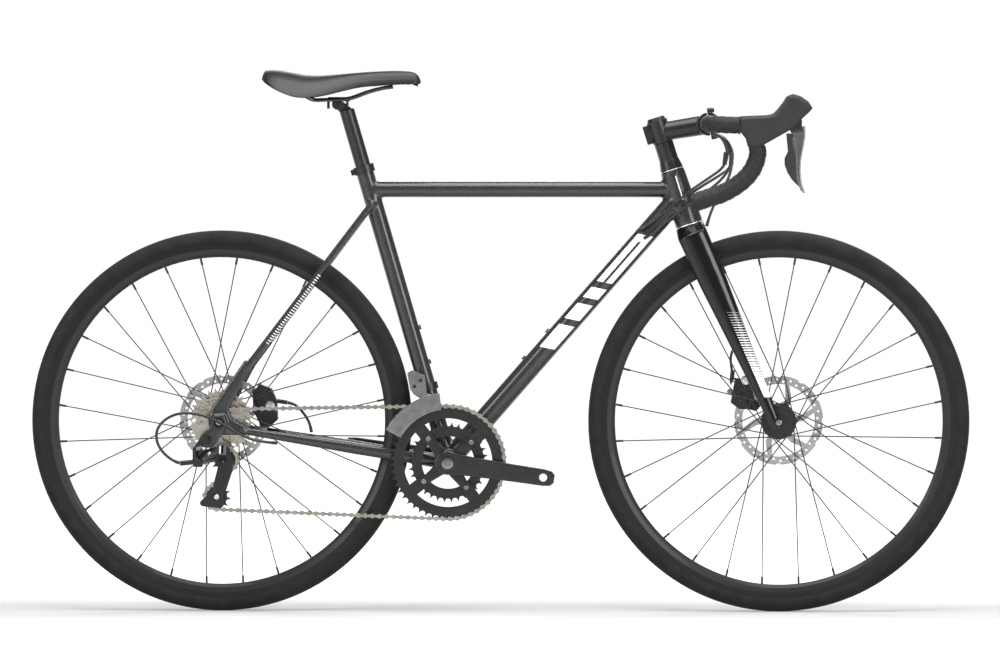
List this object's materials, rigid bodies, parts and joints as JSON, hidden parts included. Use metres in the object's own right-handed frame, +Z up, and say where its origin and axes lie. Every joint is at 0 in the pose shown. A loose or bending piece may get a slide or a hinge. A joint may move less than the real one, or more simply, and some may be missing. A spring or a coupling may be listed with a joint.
{
  "type": "road bicycle",
  "caption": "Road bicycle with a diamond frame, drop bar, disc brakes, chain drive with front and rear derailleurs, slim tyres and a padded saddle; pedals left off.",
  "frame": {"origin": "on the ground, midway between the axles, on the bicycle's centre plane", "axes": "+X forward, +Y to the rider's left, +Z up"},
  "size_m": [1.68, 0.467, 0.9705],
  "materials": {
    "frame_paint": "gloss metallic",
    "fork_paint": "gloss",
    "black_alloy": "satin black",
    "grey_alloy": "satin grey",
    "crank_alloy": "satin dark grey",
    "rim": "gloss black",
    "spoke": "black",
    "rotor_steel": "brushed",
    "chain_steel": "plated",
    "rail_steel": "satin",
    "tyre": "matt",
    "hood_rubber": "matt",
    "tape": "matt",
    "housing": "gloss",
    "black_plastic": "matt",
    "saddle_cover": "satin"
  },
  "bodies": {
    "frame": {"head_tube": "frame_paint", "top_tube": "frame_paint", "down_tube": "frame_paint", "seat_tube": "frame_paint", "bb_shell": "frame_paint", "chainstays": "frame_paint", "seatstays": "frame_paint", "rear_dropouts": "frame_paint", "frame_fittings": "black_alloy", "rear_axle": "black_alloy", "rear_caliper": "black_alloy", "steering_housings": "housing", "frame_housings": "housing", "chain": "chain_steel", "front_derailleur_clamp": "black_alloy", "derailleur_knuckle": "black_alloy"},
    "seat": {"seatpost": "black_alloy", "saddle_rails": "rail_steel", "saddle_shell": "black_plastic", "saddle_pad": "saddle_cover"},
    "steering": {"fork": "fork_paint", "spacers": "black_alloy", "stem": "black_alloy", "stem_faceplate": "black_alloy", "handlebar": "black_alloy", "bar_tape": "tape", "lever_brackets": "black_alloy", "hoods": "hood_rubber", "front_caliper": "black_alloy", "front_axle": "black_alloy"},
    "lever_pivot_right": {"lever_pivot_right": "black_alloy"},
    "lever_pivot_left": {"lever_pivot_left": "black_alloy"},
    "brake_lever_right": {"brake_lever_right": "grey_alloy"},
    "brake_lever_left": {"brake_lever_left": "grey_alloy"},
    "shift_paddle_right": {"shift_paddle_right": "black_plastic"},
    "shift_paddle_left": {"shift_paddle_left": "black_plastic"},
    "front_caliper_arm": {"front_caliper_arm": "grey_alloy"},
    "rear_caliper_arm": {"rear_caliper_arm": "grey_alloy"},
    "front_wheel": {"front_tyre": "tyre", "front_rim": "rim", "front_spokes_right": "spoke", "front_spokes_left": "spoke", "front_hub": "black_alloy", "front_rotor": "rotor_steel"},
    "rear_wheel": {"rear_tyre": "tyre", "rear_rim": "rim", "rear_spokes_right": "spoke", "rear_spokes_left": "spoke", "rear_hub": "black_alloy", "rear_rotor": "rotor_steel"},
    "cassette": {"cassette": "chain_steel"},
    "crankset": {"cranks": "crank_alloy", "chainrings": "crank_alloy"},
    "front_derailleur_cage": {"front_derailleur_cage": "grey_alloy"},
    "derailleur_link_outer": {"derailleur_link_outer": "grey_alloy"},
    "derailleur_link_inner": {"derailleur_link_inner": "grey_alloy"},
    "derailleur_arm": {"derailleur_arm": "black_alloy"},
    "derailleur_cage": {"derailleur_cage": "black_alloy"},
    "guide_pulley": {"guide_pulley": "black_plastic"},
    "tension_pulley": {"tension_pulley": "black_plastic"}
  },
  "joints": [
    {"name": "steer", "type": "hinge", "parent": "frame", "child": "steering", "pos_m": [0.45417, 0, 0.32687], "axis": [-0.3007, 0, 0.9537], "range_deg": [-60, 60], "deforming": ["steering_housings"]},
    {"name": "seat_height", "type": "slide", "parent": "frame", "child": "seat", "axis": [-0.279, 0, 0.9603], "range_m": [-0.06, 0.05]},
    {"name": "front_wheel_spin", "type": "hinge", "parent": "steering", "child": "front_wheel", "pos_m": [0.499, 0, 0.341], "axis": [0, 1, 0], "continuous": true},
    {"name": "rear_wheel_spin", "type": "hinge", "parent": "frame", "child": "rear_wheel", "pos_m": [-0.499, 0, 0.341], "axis": [0, 1, 0], "continuous": true},
    {"name": "crank_spin", "type": "hinge", "parent": "frame", "child": "crankset", "pos_m": [-0.09149, 0, 0.268], "axis": [0, 1, 0], "continuous": true, "deforming": ["chain"]},
    {"name": "cassette_spin", "type": "hinge", "parent": "frame", "child": "cassette", "pos_m": [-0.499, 0, 0.341], "axis": [0, 1, 0], "continuous": true, "deforming": ["chain"]},
    {"name": "guide_pulley_spin", "type": "hinge", "parent": "derailleur_cage", "child": "guide_pulley", "pos_m": [-0.4895, -0.063, 0.273], "axis": [0, 1, 0], "continuous": true, "deforming": ["chain"]},
    {"name": "tension_pulley_spin", "type": "hinge", "parent": "derailleur_cage", "child": "tension_pulley", "pos_m": [-0.504, -0.063, 0.207], "axis": [0, 1, 0], "continuous": true, "deforming": ["chain"]},
    {"name": "brake_pull_right", "type": "hinge", "parent": "steering", "child": "lever_pivot_right", "pos_m": [0.52643, -0.2105, 0.88059], "axis": [0, 1, 0], "range_deg": [0, 16], "stiffness_Nm_per_rad": 1.5},
    {"name": "shift_swing_right", "type": "hinge", "parent": "lever_pivot_right", "child": "brake_lever_right", "pos_m": [0.53343, -0.2105, 0.86359], "axis": [1, 0, 0], "range_deg": [0, 20], "stiffness_Nm_per_rad": 1},
    {"name": "paddle_push_right", "type": "hinge", "parent": "brake_lever_right", "child": "shift_paddle_right", "pos_m": [0.51743, -0.2105, 0.85159], "axis": [1, 0, 0], "range_deg": [0, 15], "stiffness_Nm_per_rad": 0.5},
    {"name": "brake_pull_left", "type": "hinge", "parent": "steering", "child": "lever_pivot_left", "pos_m": [0.52643, 0.2105, 0.88059], "axis": [0, 1, 0], "range_deg": [0, 16], "stiffness_Nm_per_rad": 1.5},
    {"name": "shift_swing_left", "type": "hinge", "parent": "lever_pivot_left", "child": "brake_lever_left", "pos_m": [0.53343, 0.2105, 0.86359], "axis": [-1, 0, 0], "range_deg": [0, 20], "stiffness_Nm_per_rad": 1},
    {"name": "paddle_push_left", "type": "hinge", "parent": "brake_lever_left", "child": "shift_paddle_left", "pos_m": [0.51743, 0.2105, 0.85159], "axis": [-1, 0, 0], "range_deg": [0, 15], "stiffness_Nm_per_rad": 0.5},
    {"name": "front_caliper_pull", "type": "hinge", "parent": "steering", "child": "front_caliper_arm", "pos_m": [0.4355, 0.056, 0.38], "axis": [0, 1, 0], "range_deg": [0, 18], "stiffness_Nm_per_rad": 0.8},
    {"name": "rear_caliper_pull", "type": "hinge", "parent": "frame", "child": "rear_caliper_arm", "pos_m": [-0.43, 0.069, 0.374], "axis": [0, 1, 0], "range_deg": [0, 18], "stiffness_Nm_per_rad": 0.8},
    {"name": "rear_shift", "type": "hinge", "parent": "frame", "child": "derailleur_link_outer", "pos_m": [-0.5335, -0.079, 0.2794], "axis": [0, 0.5476, 0.8368], "range_deg": [0, 57], "stiffness_Nm_per_rad": 2, "deforming": ["chain", "frame_housings"]},
    {"name": "rear_shift_inner", "type": "hinge", "parent": "frame", "child": "derailleur_link_inner", "pos_m": [-0.5335, -0.06812, 0.27228], "axis": [0, 0.5476, 0.8368], "range_deg": [0, 57], "deforming": ["chain"]},
    {"name": "rear_shift_level", "type": "hinge", "parent": "derailleur_link_outer", "child": "derailleur_arm", "pos_m": [-0.49666, -0.09588, 0.29044], "axis": [0, 0.5476, 0.8368], "range_deg": [-57, 0], "deforming": ["chain"]},
    {"name": "chain_tension", "type": "hinge", "parent": "derailleur_arm", "child": "derailleur_cage", "pos_m": [-0.4825, -0.072, 0.267], "axis": [0, 1, 0], "range_deg": [-30, 35], "stiffness_Nm_per_rad": 1, "deforming": ["chain"]},
    {"name": "front_shift", "type": "slide", "parent": "frame", "child": "front_derailleur_cage", "axis": [0, 1, 0], "range_m": [0, 0.007], "stiffness_N_per_m": 2000, "deforming": ["chain"]}
  ],
  "couplings": [
    {"joint": "cassette_spin", "follows": "crank_spin", "ratio": 4.5455},
    {"joint": "guide_pulley_spin", "follows": "crank_spin", "ratio": -4.5455},
    {"joint": "tension_pulley_spin", "follows": "crank_spin", "ratio": 4.5455},
    {"joint": "front_caliper_pull", "follows": "brake_pull_left", "ratio": 0.8},
    {"joint": "rear_caliper_pull", "follows": "brake_pull_right", "ratio": 0.8},
    {"joint": "rear_shift_inner", "follows": "rear_shift", "ratio": 1},
    {"joint": "rear_shift_level", "follows": "rear_shift", "ratio": -1}
  ]
}
